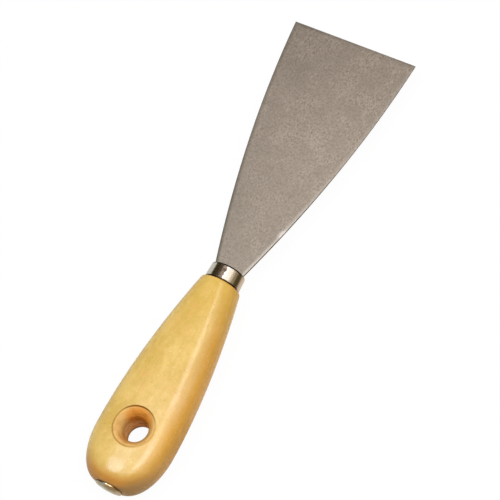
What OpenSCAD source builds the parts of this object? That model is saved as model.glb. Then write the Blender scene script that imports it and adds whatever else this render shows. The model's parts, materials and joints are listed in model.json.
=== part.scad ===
// Flexible putty knife with a turned and shaped hardwood handle.
//
// It lies flat: +Y runs from the butt to the working edge, +X is to the right
// and +Z is up, square to the flat of the blade. The origin is under the middle
// of the knife's length, on the level of the handle's lowest point.

/* [Blade] */
// Width of the working edge
blade_w = 50; // [40:1:60]
// Length of blade in front of the ferrule
blade_len = 101.8; // [80:0.1:120]
// Thickness of the stock, which the tang keeps
blade_root_t = 1.1; // [0.8:0.1:1.6]
// Thickness that the faces are ground down to at the working edge
blade_edge_t = 0.5; // [0.3:0.1:0.7]
// Angle at which each side leaves the ferrule, from the centre line
blade_root_flare = 16.8; // [12:0.1:22]
// Angle at which each side still opens at the working edge
blade_edge_flare = 4.3; // [0:0.1:8]

/* [Tang] */
// Width of the tang at the blade's shoulders
tang_w = 9; // [7:0.5:10]
// Width of the tang at its hidden end
tang_end_w = 5; // [3:0.5:7]
// Solid wood left between the tang and the hang hole
tang_stop = 12; // [6:0.5:20]
// Gap round the tang in its slot
tang_gap = 0.1; // [0.05:0.05:0.3]

/* [Ferrule] */
// Length of the ferrule along the knife
ferrule_len = 6.2; // [4:0.1:12]
// Outside diameter at the mouth, where the blade enters
ferrule_mouth_d = 13.2; // [12.8:0.1:15]
// Outside diameter at the foot, against the handle
ferrule_foot_d = 13.6; // [13.3:0.1:15.5]
// Wall of the drawn tube
ferrule_wall = 0.7; // [0.4:0.1:1]
// Radius that rounds the outer edge of the foot
foot_round = 0.3; // [0.1:0.1:0.4]
// Gap between each side of the blade and the mouth
neck_gap = 0.2; // [0.1:0.05:0.4]
// Gap between the wooden tenon and the ferrule
tenon_gap = 0.1; // [0.05:0.05:0.2]
// How far the tenon's end lies below the mouth
tenon_recess = 0.8; // [0.4:0.1:2]
// Diameter of the punch marks that lock the ferrule to the tenon
stake_d = 1.8; // [1:0.1:2.4]
// Depth of the punch marks
stake_depth = 0.15; // [0.1:0.05:0.35]
// Distance from the mouth to the punch marks
stake_from_mouth = 1.8; // [1.3:0.1:2.5]
// How far round from the middle of the face the punch marks sit
stake_turn = 6; // [-15:1:15]

/* [Handle] */
// Length of wood from the ferrule to the butt
handle_len = 82.5; // [75:0.5:110]
// Greatest width
handle_w = 30; // [26:0.5:36]
// Greatest thickness
handle_t = 17.1; // [16:0.1:21]
// Step from the ferrule out to the wood's shoulder
shoulder_step = 0.8; // [0.4:0.1:1.5]
// Radius that rounds the edge of the shoulder
shoulder_round = 0.4; // [0.1:0.1:0.4]
// Angle at which the sides leave the shoulder
side_flare = 11.7; // [4:0.1:16]
// Angle at which the faces leave the shoulder
face_flare = 1; // [0:0.1:4]
// Distance from the butt to the widest place
widest_from_butt = 18.7; // [14:0.1:26]
// Distance from the butt to the thickest place
thickest_from_butt = 9.2; // [6:0.1:14]
// How full the butt is seen from the face, 2 being an ellipse
butt_fullness = 2.02; // [1.8:0.01:2.6]
// How full the butt is seen from the side, 2 being an ellipse
butt_side_fullness = 2.15; // [1.8:0.01:2.6]
// How square the section is in the grip, 2 being an ellipse
grip_squareness = 2.75; // [2:0.05:3.5]

/* [Hang hole] */
// Diameter of the hole's straight wall
hole_d = 9; // [8.5:0.5:10]
// Diameter of the flared rim on each face
hole_rim_d = 15; // [14:0.1:15.5]
// Depth of the flare on each face
hole_flare_depth = 4.4; // [3.5:0.1:5.5]
// Distance from the butt to the hole's centre
hole_from_butt = 21; // [19:0.5:30]

/* [Butt button] */
// Diameter of the steel head
button_d = 10; // [8:0.5:12]
// Height of the head's straight edge
button_edge = 0.6; // [0.4:0.1:1.2]
// Height of the dome above that edge
button_dome = 0.6; // [0.3:0.1:1.5]
// How far the head stands out past its wooden seat
button_overhang = 0.1; // [0:0.05:0.3]
// Diameter over the rings of the shank
shank_d = 3.2; // [2.4:0.1:4]
// Length of the shank under the head
shank_len = 10; // [7:0.5:12]
// Depth of the rings
ring_depth = 0.25; // [0.1:0.05:0.4]
// Distance from ring to ring
ring_pitch = 1.4; // [1:0.1:2]
// Length of the shank's point
shank_point = 2; // [1:0.5:3]
// Gap between the shank and its drilled hole
shank_gap = 0.1; // [0.05:0.05:0.2]

/* [Hidden] */
$fn = 96;

// Extra length that carries a cut clear of the face it opens
over = 1;
// Numbers of straight steps that stand for a curve
side_steps = 24;
grip_steps = 22;
butt_steps = 13;
round_steps = 4;
section_points = 56;

knife_len = blade_len + ferrule_len + handle_len + button_edge + button_dome;
tip_y = knife_len/2;
mouth_y = tip_y - blade_len;
shoulder_y = mouth_y - ferrule_len;
butt_y = shoulder_y - handle_len;
hole_y = butt_y + hole_from_butt;
mid_z = handle_t/2;

neck_w = ferrule_mouth_d - 2*ferrule_wall - 2*neck_gap;
tenon_y = mouth_y - tenon_recess;
tang_y = hole_y + hole_rim_d/2 + tang_stop;
shoulder_d = ferrule_foot_d + 2*shoulder_step;
seat_d = button_d - 2*button_overhang;
widest_at = handle_len - widest_from_butt;
thickest_at = handle_len - thickest_from_butt;

// Cubic from a to b along a run, with the slope at each end and u from 0 to 1
function cubic(a, b, slope_a, slope_b, run, u) =
    a*(2*pow(u, 3) - 3*pow(u, 2) + 1) + b*(3*pow(u, 2) - 2*pow(u, 3))
    + run*(slope_a*(pow(u, 3) - 2*pow(u, 2) + u) + slope_b*(pow(u, 3) - pow(u, 2)));

// Half the blade's width at a distance from the ferrule
function blade_half(d) =
    cubic(neck_w/2, blade_w/2, tan(blade_root_flare), tan(blade_edge_flare), blade_len, d/blade_len);

// Half the handle's width or thickness at a distance d from the shoulder: it swells to
// its greatest value at place at, then closes on the button's seat along a superellipse
function swell(greatest, at, flare, fullness, d) =
    d <= at
        ? cubic(shoulder_d/2, greatest/2, tan(flare), 0, at, d/at)
        : seat_d/2 + (greatest - seat_d)/2
            * pow(max(0, 1 - pow((d - at)/(handle_len - at), fullness)), 1/fullness);
function half_w(d) = swell(handle_w, widest_at, side_flare, butt_fullness, d);
function half_t(d) = swell(handle_t, thickest_at, face_flare, butt_side_fullness, d);

// How square the section is: round at both ends, squarest in the middle of the grip
function squareness(d) = 2 + (grip_squareness - 2)*sqrt(max(0, sin(180*d/handle_len)));

// One section of the handle: a superellipse, smaller by inset all round
function section(d, inset, y) =
    let(w = half_w(d) - inset, t = half_t(d) - inset, k = 2/squareness(d))
    [for (i = [0:section_points - 1])
        let(a = 360*i/section_points)
        [w*sign(cos(a))*pow(abs(cos(a)), k), y, t*sign(sin(a))*pow(abs(sin(a)), k)]];

// Distances from the shoulder of the handle's sections: even steps along the grip, then
// closer and closer towards the butt
function stations() = concat(
    [for (i = [1:grip_steps]) shoulder_round + (widest_at - shoulder_round)*i/grip_steps],
    [for (i = [1:butt_steps]) widest_at + widest_from_butt*sin(90*i/butt_steps)]);

// A closed solid through a list of sections that have the same number of points
module loft(sections) {
    n = len(sections[0]);
    last = len(sections) - 1;
    polyhedron(
        points = [for (s = sections) each s],
        faces = concat(
            [[for (i = [0:n - 1]) i]],
            [[for (i = [n - 1:-1:0]) last*n + i]],
            [for (j = [0:last - 1]) for (i = [0:n - 1])
                let(a = j*n + i, b = j*n + (i + 1)%n)
                each [[b, a, a + n], [b, a + n, b + n]]]));
}

// The right side of the tang from its end to the blade's shoulders, grown by gap: used for
// the tang and for its slot
function tang_side(gap) = [[tang_end_w/2 + gap, tang_y - gap], [tang_w/2 + gap, tenon_y]];

// An outline from the points of its right side, and the same points on the left
module two_sided(right) {
    polygon(concat(right, [for (i = [len(right) - 1:-1:0]) [-right[i][0], right[i][1]]]));
}

// Blade, neck and tang are one piece of spring steel. The faces are ground from the
// ferrule to the working edge, and the shoulders seat on the end of the tenon.
module blade() {
    color([0.62, 0.58, 0.53])
    translate([0, 0, mid_z])
    intersection() {
        linear_extrude(blade_root_t, center = true)
        two_sided(concat(
            tang_side(0),
            [[neck_w/2, tenon_y]],
            [for (i = [0:side_steps])
                let(d = blade_len*i/side_steps) [blade_half(d), mouth_y + d]]));
        rotate([90, 0, 90])
        linear_extrude(blade_w, center = true)
        polygon([
            [tang_y, -blade_root_t/2], [mouth_y, -blade_root_t/2], [tip_y, -blade_edge_t/2],
            [tip_y, blade_edge_t/2], [mouth_y, blade_root_t/2], [tang_y, blade_root_t/2]]);
    }
}

// Drawn tube, wider at its foot, with a half-round lip at the mouth and a rounded outer
// edge at the foot
module ferrule() {
    foot_r = ferrule_foot_d/2;
    mouth_r = ferrule_mouth_d/2;
    lip_r = ferrule_wall/2;
    stake_y = mouth_y - stake_from_mouth;
    stake_surface = mouth_r + (foot_r - mouth_r)*stake_from_mouth/ferrule_len;
    stake_r = (pow(stake_d/2, 2) + pow(stake_depth, 2))/(2*stake_depth);
    color([0.78, 0.76, 0.72])
    difference() {
        translate([0, shoulder_y, mid_z])
        rotate([-90, 0, 0])
        rotate_extrude()
        polygon(concat(
            [[foot_r - ferrule_wall, 0]],
            [for (i = [0:round_steps])
                let(a = 90*i/round_steps)
                [foot_r - foot_round*(1 - sin(a)), foot_round*(1 - cos(a))]],
            [for (i = [0:2*round_steps])
                let(a = 90*i/round_steps)
                [mouth_r - lip_r + lip_r*cos(a), ferrule_len - lip_r + lip_r*sin(a)]]));
        for (face = [0, 180])
            translate([0, stake_y, mid_z])
            rotate([0, face + stake_turn, 0])
            translate([0, 0, stake_surface + stake_r - stake_depth])
            sphere(stake_r);
    }
}

// The cut of the hang hole: a straight wall with a flare at each face. The flare is an
// arc that leaves the wall smoothly and meets the face at a crisp rim.
module hang_hole(face_z) {
    flare_w = (hole_rim_d - hole_d)/2;
    flare_r = (pow(flare_w, 2) + pow(hole_flare_depth, 2))/(2*flare_w);
    flare_turn = asin(hole_flare_depth/flare_r);
    straight_z = face_z - hole_flare_depth;
    translate([0, hole_y, mid_z]) {
        cylinder(h = 2*(face_z + over), d = hole_d, center = true);
        for (side = [0, 1])
            mirror([0, 0, side])
            rotate_extrude()
            polygon(concat(
                [[0, straight_z]],
                [for (i = [0:2*round_steps])
                    let(a = flare_turn*i/(2*round_steps))
                    [hole_d/2 + flare_r*(1 - cos(a)), straight_z + flare_r*sin(a)]],
                [[hole_rim_d/2, face_z + over], [0, face_z + over]]));
    }
}

// Hardwood handle: round tenon, shoulder, shaped grip and flat seat at the butt, with the
// slot for the tang, the hang hole and the drilled hole for the button's shank
module handle() {
    mouth_inner_r = ferrule_mouth_d/2 - ferrule_wall - tenon_gap;
    foot_inner_r = ferrule_foot_d/2 - ferrule_wall - tenon_gap;
    shank_hole_d = shank_d + 2*shank_gap;
    color([0.93, 0.76, 0.44])
    difference() {
        union() {
            translate([0, 0, mid_z])
            loft(concat(
                [for (i = [0:round_steps])
                    let(a = 90*i/round_steps)
                    section(0, shoulder_round*(1 - sin(a)), shoulder_y - shoulder_round*(1 - cos(a)))],
                [for (d = stations()) section(d, 0, shoulder_y - d)]));
            translate([0, shoulder_y - over, mid_z])
            rotate([-90, 0, 0]) {
                cylinder(h = over, r = foot_inner_r);
                translate([0, 0, over])
                cylinder(h = ferrule_len - tenon_recess, r1 = foot_inner_r,
                    r2 = foot_inner_r + (mouth_inner_r - foot_inner_r)*(1 - tenon_recess/ferrule_len));
            }
        }
        translate([0, 0, mid_z])
        linear_extrude(blade_root_t + 2*tang_gap, center = true)
        two_sided(concat(tang_side(tang_gap), [[tang_w/2 + tang_gap, tenon_y + over]]));
        hang_hole(half_t(handle_len - hole_from_butt));
        translate([0, butt_y - over, mid_z])
        rotate([-90, 0, 0])
        cylinder(h = shank_len + over + shank_gap, d = shank_hole_d);
    }
}

// Domed steel head on a ringed shank, driven into the butt
module butt_button() {
    head_r = button_d/2;
    dome_r = (pow(head_r, 2) + pow(button_dome, 2))/(2*button_dome);
    dome_turn = asin(head_r/dome_r);
    core_r = shank_d/2 - ring_depth;
    rings = floor((shank_len - shank_point)/ring_pitch);
    color([0.72, 0.70, 0.66])
    translate([0, butt_y, mid_z])
    rotate([90, 0, 0])
    rotate_extrude()
    polygon(concat(
        [[0, -shank_len], [core_r, shank_point - shank_len]],
        [for (i = [rings:-1:1])
            each [[shank_d/2, -i*ring_pitch + ring_pitch/2], [core_r, -i*ring_pitch + ring_pitch/2 + ring_depth]]],
        [[core_r, 0], [head_r, 0], [head_r, button_edge]],
        [for (i = [round_steps*2 - 1:-1:0])
            let(a = dome_turn*i/(round_steps*2))
            [dome_r*sin(a), button_edge + button_dome - dome_r*(1 - cos(a))]]));
}

blade();
ferrule();
handle();
butt_button();
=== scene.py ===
"""Flexible putty knife: the finish of every piece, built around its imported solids.

The knife lies flat on a white sheet. +Y runs from the butt to the working edge, +X is to
the right and +Z is up. Shapes are in metres, in the frame of the solids, and a length
written in millimetres carries the factor MM. Finishes work in millimetres.
"""

import json
import logging
import math
from dataclasses import dataclass, field
from enum import Enum
from typing import Any, Callable, Sequence

import bmesh
import bpy
import numpy as np
from mathutils import Matrix, Vector


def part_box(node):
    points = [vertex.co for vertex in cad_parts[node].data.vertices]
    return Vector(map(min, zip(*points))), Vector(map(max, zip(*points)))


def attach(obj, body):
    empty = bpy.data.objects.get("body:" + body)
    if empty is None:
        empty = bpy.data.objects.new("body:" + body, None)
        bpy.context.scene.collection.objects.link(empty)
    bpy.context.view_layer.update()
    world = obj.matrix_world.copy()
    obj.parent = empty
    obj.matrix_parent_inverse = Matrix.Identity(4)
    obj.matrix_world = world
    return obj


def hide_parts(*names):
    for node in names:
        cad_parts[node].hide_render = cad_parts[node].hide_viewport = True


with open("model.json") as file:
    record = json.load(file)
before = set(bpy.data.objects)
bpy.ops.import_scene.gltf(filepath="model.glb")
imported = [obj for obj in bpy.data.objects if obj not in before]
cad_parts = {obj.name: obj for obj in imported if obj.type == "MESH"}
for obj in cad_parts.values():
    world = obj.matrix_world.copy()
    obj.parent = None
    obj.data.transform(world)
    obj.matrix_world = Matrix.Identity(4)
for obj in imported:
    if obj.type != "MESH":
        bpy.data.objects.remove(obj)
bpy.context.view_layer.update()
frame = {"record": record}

MM = 0.001
FROM_EDGE, ACROSS = "from_edge", "across"
BODY = "root"
UP, DOWN = 90, 270
ELLIPSE_POWER = 2
MIX_SHARE, MIX_FIRST, MIX_SECOND, MIX_COLOUR = 0, 6, 7, 2
Array = np.ndarray
Span = tuple[float, float]
Ramp = tuple[float, ...]
Point = tuple[float, float, float]
Colour = tuple[float, float, float]
log = logging.getLogger("putty_knife")


# ---------------------------------------------------------------------------
# Curves
# ---------------------------------------------------------------------------

def cubic(start: float, end: float, slope_start: float, slope_end: float,
          run: float, u: Array) -> Array:
    """Gives the cubic that goes from start to end over a run, with a slope at each end.

    Formula: the four Hermite blends of u, with the slopes times the run.

    Args:
        start: Value at u = 0.
        end: Value at u = 1.
        slope_start: Slope at u = 0.
        slope_end: Slope at u = 1.
        run: Length that u = 0 to 1 stands for.
        u: Places along the run, from 0 to 1.

    Returns:
        The value at each place.
    """
    return (start * (2 * u**3 - 3 * u**2 + 1) + end * (3 * u**2 - 2 * u**3)
            + run * (slope_start * (u**3 - 2 * u**2 + u) + slope_end * (u**3 - u**2)))


def superellipse_ring(half_x: Array, half_z: Array, power: Array,
                      turn: Array) -> tuple[Array, Array]:
    """Gives points of superellipses along the rays of an ellipse.

    Formula: (half_x cos a, half_z sin a) times (|cos a|^p + |sin a|^p)^(-1/p).

    Args:
        half_x: Half widths, as a column.
        half_z: Half heights, as a column.
        power: Powers, 2 for an ellipse, as a column.
        turn: Angles of the rays, as a row.

    Returns:
        The x and the z of each point.
    """
    reach = (np.abs(np.cos(turn))**power + np.abs(np.sin(turn))**power)**(-1 / power)
    return half_x * np.cos(turn) * reach, half_z * np.sin(turn) * reach


def rectangle_ring(half_x: float, half_z: float, turn: Array) -> tuple[Array, Array]:
    """Gives points of a rectangle along the same rays, with a corner at each odd eighth.

    Formula: (half_x cos a, half_z sin a) divided by the larger of |cos a| and |sin a|.

    Args:
        half_x: Half width.
        half_z: Half height.
        turn: Angles of the rays.

    Returns:
        The x and the z of each point.
    """
    reach = 1 / np.maximum(np.abs(np.cos(turn)), np.abs(np.sin(turn)))
    return half_x * np.cos(turn) * reach, half_z * np.sin(turn) * reach


def full_turn(count: int) -> Array:
    """Gives that many angles, evenly round a circle."""
    return np.linspace(0, 2 * np.pi, count, endpoint=False)


def quarter_turn(count: int) -> Array:
    """Gives that many angles, evenly from 0 to a quarter turn."""
    return np.linspace(0, np.pi / 2, count)


def steps(count: int) -> Array:
    """Gives that many even places from 0 to 1, without the 0."""
    return np.linspace(0, 1, count)[1:]


def round_ring(quarter: Array, middle: Array, left: int, below: int) -> Array:
    """Carries values from a quarter of each ring to the whole of it.

    Args:
        quarter: Values from the right side to the middle of the upper face, one ring to a
            row.
        middle: The value in the middle of the upper face, as a column.
        left: 1 or -1, the sign that the values take on the left.
        below: 1 or -1, the sign that they take on the lower face.

    Returns:
        The values of the whole rings, over the upper face and back under the lower one.
    """
    under = left * below
    return np.concatenate([quarter, middle, left * quarter[:, ::-1], under * quarter[:, 1:],
                           below * middle, below * quarter[:, :0:-1]], axis=1)


def ring_points(x: Array, y: Array | float, z: Array) -> Array:
    """Joins x, y and z of equal or spreadable shapes into points."""
    return np.stack(np.broadcast_arrays(x, y, z), axis=-1)


# ---------------------------------------------------------------------------
# Meshes
# ---------------------------------------------------------------------------

@dataclass
class Shell:
    """A closed surface put together from grids of points."""

    points: list[Array] = field(default_factory=list)
    quads: list[Array] = field(default_factory=list)
    triangles: list[Array] = field(default_factory=list)
    count: int = 0

    def add(self, points: Array) -> Array:
        """Adds points and gives their numbers in the same layout.

        Args:
            points: Points, with x, y and z on the last axis.

        Returns:
            The numbers of the points, in the layout of the other axes.
        """
        flat = points.reshape(-1, 3)
        numbers = np.arange(self.count, self.count + len(flat)).reshape(points.shape[:-1])
        self.points.append(flat)
        self.count += len(flat)
        return numbers

    def skin(self, rows: Array, keep: Array | None = None) -> None:
        """Covers rows of closed rings with quads.

        Args:
            rows: Point numbers, one ring to a row.
            keep: Which quads to make, one row fewer than rows, or None for all.
        """
        ahead = np.roll(rows, -1, axis=1)
        quads = np.stack([rows[:-1], ahead[:-1], ahead[1:], rows[1:]], axis=-1)
        self.quads.append(quads[keep] if keep is not None else quads.reshape(-1, 4))

    def fan(self, ring: Array, centre: Sequence[float]) -> None:
        """Closes a ring with triangles to a centre point.

        Args:
            ring: Point numbers of the ring.
            centre: The centre point.
        """
        middle = np.full(len(ring), self.add(np.array([centre], float))[0])
        self.triangles.append(np.stack([ring, np.roll(ring, -1), middle], axis=-1))

    def zip_up(self, ring: Array) -> None:
        """Closes a flat ring with quads between its upper and its lower side.

        Args:
            ring: Point numbers, where number i and number -i lie one above the other.
        """
        half = len(ring) // 2
        upper, lower = ring[:half + 1], np.roll(ring, -1)[::-1][:half + 1]
        self.quads.append(np.stack([upper[1:-2], upper[2:-1], lower[2:-1], lower[1:-2]],
                                   axis=-1))
        self.triangles.append(np.array([[upper[0], upper[1], lower[1]],
                                        [upper[-1], lower[-2], upper[-2]]]))

    def build(self, name: str, crease: float = 40.0) -> bpy.types.Object:
        """Makes the mesh object, facing outwards and smooth up to a crease angle.

        Args:
            name: Name of the object.
            crease: Angle between faces, in degrees, from which an edge stays sharp.

        Returns:
            The object, at the origin.
        """
        mesh = bpy.data.meshes.new(name)
        faces = [f for block in self.quads + self.triangles for f in block.tolist()]
        mesh.from_pydata(np.concatenate(self.points).tolist(), [], faces)
        skin = bmesh.new()
        skin.from_mesh(mesh)
        bmesh.ops.recalc_face_normals(skin, faces=skin.faces)
        skin.to_mesh(mesh)
        skin.free()
        mesh.shade_smooth()
        mesh.set_sharp_from_angle(angle=math.radians(crease))
        piece = bpy.data.objects.new(name, mesh)
        bpy.context.scene.collection.objects.link(piece)
        return piece


def turned(profile: Array, centre_z: float, around: int) -> Array:
    """Turns a profile about the knife's long axis.

    Formula: a profile point (r, y) gives (r cos a, y, centre + r sin a).

    Args:
        profile: Points (radius, y), in order.
        centre_z: Height of the axis.
        around: Number of points in each ring.

    Returns:
        The points, one ring to a row.
    """
    turn = full_turn(around)
    radius, y = profile[:, :1], profile[:, 1:]
    return ring_points(radius * np.cos(turn), y, centre_z + radius * np.sin(turn))


# ---------------------------------------------------------------------------
# Shader sums
# ---------------------------------------------------------------------------

def operator(operation: str, reflected: bool = False) -> Callable[["Signal", Any], "Signal"]:
    """Gives the method of one operator.

    Args:
        operation: The Math node's operation.
        reflected: Whether the signal stands on the operator's right.

    Returns:
        The method, which adds the Math node.
    """
    def method(self: "Signal", other: Any) -> "Signal":
        """Adds the node of the operator."""
        return self.maths(operation, *((other, self) if reflected else (self, other)))

    return method


class Signal:
    """A number that varies over a surface, and can be used in Python sums."""

    __add__ = __radd__ = operator("ADD")
    __mul__ = __rmul__ = operator("MULTIPLY")
    __sub__, __rsub__ = operator("SUBTRACT"), operator("SUBTRACT", reflected=True)
    __truediv__, __rtruediv__ = operator("DIVIDE"), operator("DIVIDE", reflected=True)
    __pow__, __rpow__ = operator("POWER"), operator("POWER", reflected=True)

    def __init__(self, graph: "Graph", socket: bpy.types.NodeSocket) -> None:
        """Wraps a socket.

        Args:
            graph: The material that the socket belongs to.
            socket: An output socket.
        """
        self.graph = graph
        self.socket = socket

    def __abs__(self) -> "Signal":
        """Gives the size without the sign."""
        return self.maths("ABSOLUTE", self)

    def maths(self, operation: str, *terms: Any) -> "Signal":
        """Adds the Math node of one operation."""
        return self.graph.node("ShaderNodeMath", {"operation": operation},
                               dict(enumerate(terms)))

    def ramp(self, low: float, high: float, start: float = 0.0, end: float = 1.0) -> "Signal":
        """Goes smoothly from start to end as the signal goes from low to high.

        Args:
            low: Where the answer leaves its start.
            high: Where it reaches its end. It may be below low, which turns the ramp round.
            start: The answer up to low.
            end: The answer from high on.

        Returns:
            The eased signal.
        """
        return self.graph.node("ShaderNodeMapRange", {"interpolation_type": "SMOOTHSTEP"},
                               {"Value": self, "From Min": low, "From Max": high,
                                "To Min": start, "To Max": end})

    def between(self, start: float, end: float) -> "Signal":
        """Goes evenly from start to end as the signal goes from 0 to 1."""
        return self * (end - start) + start


@dataclass(frozen=True)
class Grain:
    """A random pattern: the size of its features in millimetres, and how fine it is.

    "detail" is its number of finer layers, "rough" their strength and "twist" how far it
    is distorted. "shown" is the ramp that makes it a mask.
    """

    size: Point
    detail: float = 2.0
    rough: float = 0.5
    twist: float = 0.0
    shown: Ramp | None = None


class Graph:
    """The node tree of one material."""

    def __init__(self, name: str) -> None:
        """Starts an empty material.

        Args:
            name: Name of the material.
        """
        self.material = bpy.data.materials.new(name)
        self.material.use_nodes = True
        self.tree = self.material.node_tree
        self.tree.nodes.clear()

    def node(self, kind: str, settings: dict[str, Any] | None = None,
             inputs: dict[Any, Any] | None = None, output: int | str = 0) -> Signal:
        """Adds any node.

        Args:
            kind: The node's type.
            settings: Its properties, set first.
            inputs: Values or links of its sockets, by name or by place.
            output: Name or place of the output that is wanted.

        Returns:
            The output, as a signal.
        """
        made = self.tree.nodes.new(kind)
        for key, value in (settings or {}).items():
            setattr(made, key, value)
        for key, value in (inputs or {}).items():
            if isinstance(value, Signal):
                self.tree.links.new(value.socket, made.inputs[key])
            else:
                made.inputs[key].default_value = value
        return Signal(self, made.outputs[output])

    def mix(self, share: Any, first: Any, second: Any) -> Signal:
        """Blends two colours.

        Args:
            share: How much of the second, from 0 to 1.
            first: A colour or a signal.
            second: A colour or a signal.

        Returns:
            The blended colour.
        """
        first, second = (c if isinstance(c, Signal) else (*c, 1) for c in (first, second))
        return self.node("ShaderNodeMix", {"data_type": "RGBA"},
                         {MIX_SHARE: share, MIX_FIRST: first, MIX_SECOND: second},
                         MIX_COLOUR)

    def place(self) -> Signal:
        """Gives the object's own coordinates, in millimetres."""
        metres = self.node("ShaderNodeTexCoord", output="Object")
        return self.node("ShaderNodeVectorMath", {"operation": "SCALE"},
                         {0: metres, "Scale": 1 / MM})

    def axes(self, vector: Signal) -> tuple[Signal, Signal, Signal]:
        """Splits a vector into its x, y and z."""
        split = self.node("ShaderNodeSeparateXYZ", None, {0: vector})
        return tuple(Signal(self, s) for s in split.socket.node.outputs)

    def slopes(self) -> tuple[Signal, Signal, Signal]:
        """Gives the x, y and z of the way that the surface faces."""
        return self.axes(self.node("ShaderNodeTexCoord", output="Normal"))

    def length(self, *sides: Signal) -> Signal:
        """Gives the root of the sum of the sides' squares."""
        return sum(side * side for side in sides) ** 0.5

    def noise(self, place: Signal, grain: Grain) -> Signal:
        """Gives a soft random pattern.

        Args:
            place: Coordinates, in millimetres.
            grain: The kind of pattern.

        Returns:
            The pattern, with a mean of one half, or the mask that it makes.
        """
        scaled = self.node("ShaderNodeMapping", None,
                           {"Vector": place, "Scale": tuple(1 / s for s in grain.size)})
        pattern = self.node("ShaderNodeTexNoise", {"normalize": True},
                            {"Vector": scaled, "Scale": 1.0, "Detail": grain.detail,
                             "Roughness": grain.rough, "Distortion": grain.twist})
        return pattern.ramp(*grain.shown) if grain.shown else pattern

    def bump(self, height: Signal, distance: float, strength: float) -> Signal:
        """Gives the way that the surface faces under a relief.

        Args:
            height: The relief, from 0 to 1.
            distance: Its depth, in metres.
            strength: How much of it counts.

        Returns:
            The tilted normal.
        """
        return self.node("ShaderNodeBump", None,
                         {"Height": height, "Distance": distance, "Strength": strength})

    def finish(self, fixed: dict[str, Any], varying: dict[str, Signal]) -> bpy.types.Material:
        """Adds the shader and the output.

        Args:
            fixed: Sockets of the shader that are the same all over.
            varying: Sockets of the shader that change over the surface.

        Returns:
            The material.
        """
        self.node_output(self.node("ShaderNodeBsdfPrincipled", None, {**fixed, **varying}))
        return self.material

    def node_output(self, shader: Signal) -> None:
        """Joins a shader to the material's output."""
        out = self.tree.nodes.new("ShaderNodeOutputMaterial")
        self.tree.links.new(shader.socket, out.inputs["Surface"])


class WoodGraph(Graph):
    """The node tree of the handle's wood, with the places that its finish goes by.

    "along" is a face's slope along the knife, "across" the same without its sign, and
    "flank" how far it leans to the right, as a share of what "along" leaves. "off" is the
    place along the knife from the hang hole, and "from_hole" the distance from its rim,
    which is below 0 inside. "over_one" keeps the root for the flank above 0.
    """

    over_one: float = 1.001

    def __init__(self, name: str, hole_y: float, rim_radius: float) -> None:
        """Starts the material.

        Args:
            name: Name of the material.
            hole_y: Place of the hang hole, in millimetres.
            rim_radius: Radius of its rim, in millimetres.
        """
        super().__init__(name)
        self.spot = self.place()
        self.x, self.y, self.z = self.axes(self.spot)
        lean, self.along, _ = self.slopes()
        self.across = abs(self.along)
        self.flank = lean / (self.over_one - self.across * self.across) ** 0.5
        self.off = self.y - hole_y
        self.from_hole = self.length(self.x, self.off) - rim_radius


# ---------------------------------------------------------------------------
# Finishes, with places and sizes in millimetres. A Ramp holds the values between which
# a share changes, and then what it changes from and to where that isn't from 0 to 1.
# ---------------------------------------------------------------------------

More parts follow.
